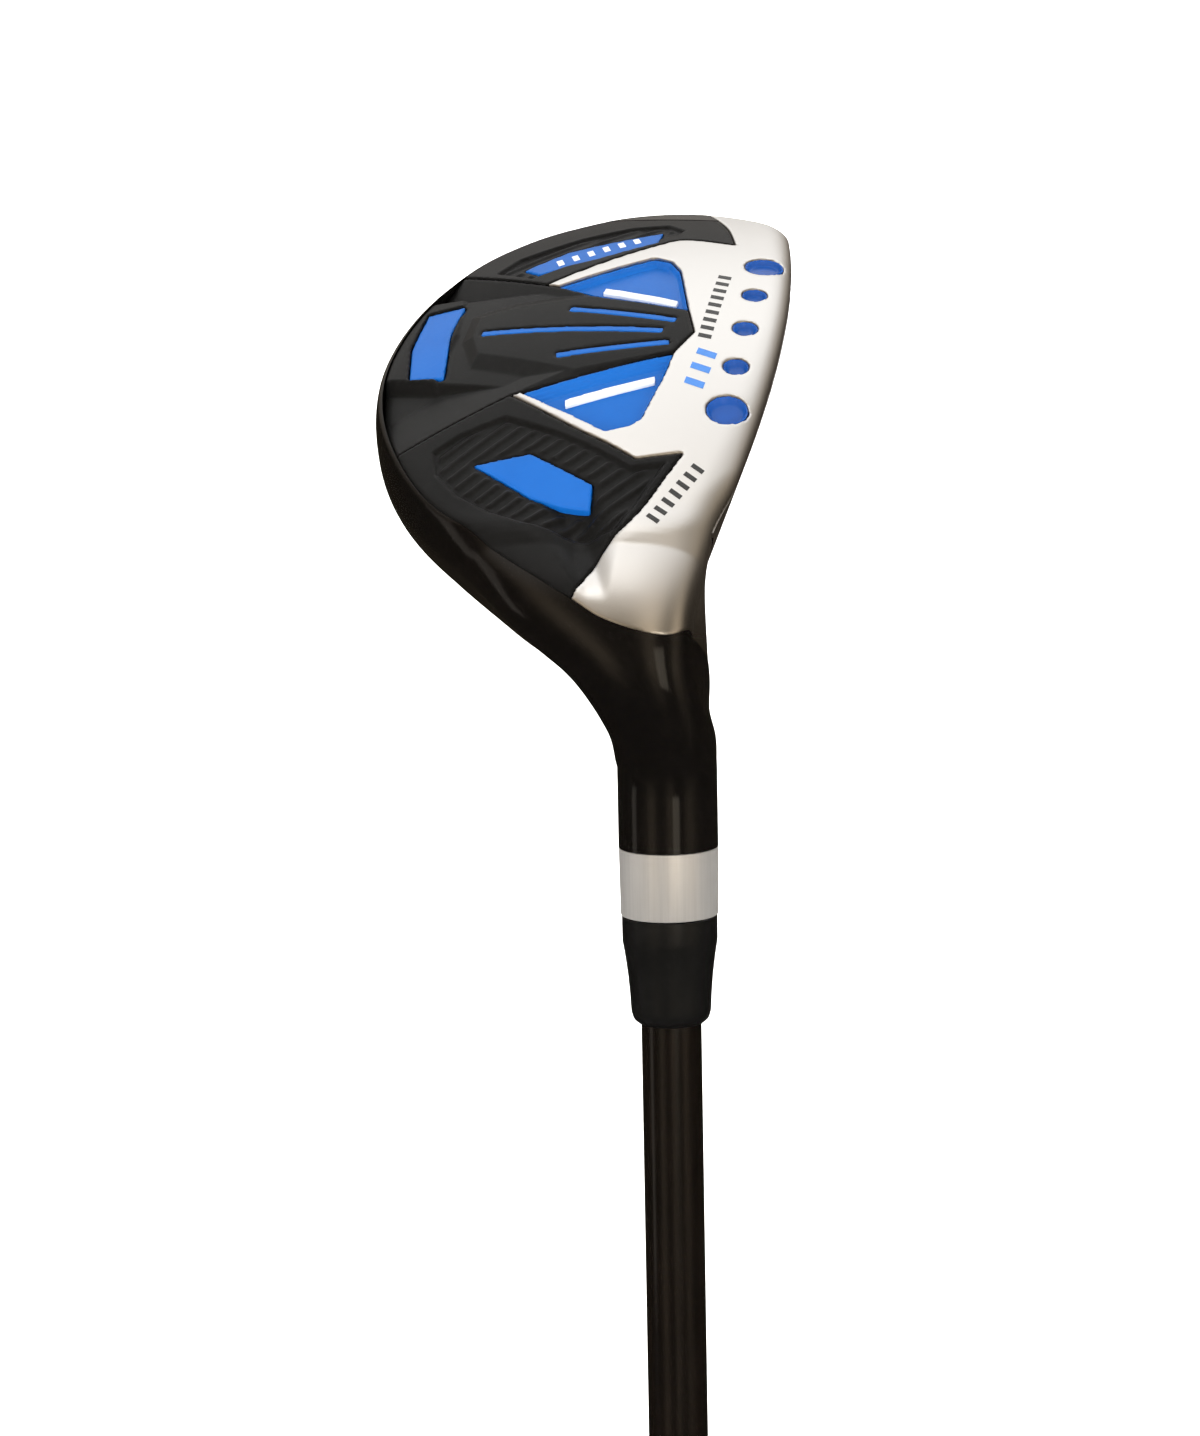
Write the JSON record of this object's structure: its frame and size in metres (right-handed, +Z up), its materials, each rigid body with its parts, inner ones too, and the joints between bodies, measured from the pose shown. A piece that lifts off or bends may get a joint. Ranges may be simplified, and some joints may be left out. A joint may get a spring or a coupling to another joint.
{
  "type": "hybrid golf club",
  "caption": "Right-handed hybrid golf club with a black and silver head, blue sole inlays, a silver hosel ring, a ferrule, a black tapered shaft and a rubber grip.",
  "frame": {"origin": "centre of the grip cap's flat end, on the shaft axis", "axes": "+Z up the shaft axis from the grip to the head, +X the way the face looks, so the toe leans towards +Y and the sole faces +Z and -Y"},
  "size_m": [0.0611, 0.0953, 1.0508],
  "materials": {
    "body_black": "gloss black paint on cast steel",
    "silver_satin": "satin-blasted steel, brighter where it rounds onto the heel",
    "panel_black": "fine satin black",
    "blue_enamel": "blue paint fill",
    "silver_bar": "pale silver paint",
    "slug_steel": "bare steel slug",
    "ring_silver": "brushed round its length",
    "ferrule_black": "polished black plastic",
    "shaft_black": "gloss black clear-coated composite",
    "cork": "cork",
    "tape": "paper masking tape",
    "grip_rubber": "moulded black rubber"
  },
  "bodies": {
    "root": {"head_body": "body_black", "crown": "body_black", "face_plate": "silver_satin", "sole_plate": "silver_satin", "heel_panel": "panel_black", "toe_panel": "panel_black", "centre_panel": "panel_black", "heel_window": "blue_enamel", "toe_window": "blue_enamel", "rear_window": "blue_enamel", "heel_pocket": "blue_enamel", "toe_pocket": "blue_enamel", "heel_bar": "silver_bar", "toe_bar": "silver_bar", "stripe_1": "blue_enamel", "stripe_2": "blue_enamel", "stripe_3": "blue_enamel", "sole_dot_1": "blue_enamel", "sole_dot_2": "blue_enamel", "sole_dot_3": "blue_enamel", "sole_dot_4": "blue_enamel", "sole_dot_5": "blue_enamel", "rear_weight": "slug_steel", "hosel_ring": "ring_silver", "ferrule": "ferrule_black", "shaft": "shaft_black", "tip_weight": "slug_steel", "tip_plug": "cork", "grip_tape": "tape", "grip_sleeve": "grip_rubber", "grip_cap": "grip_rubber"}
  },
  "joints": []
}
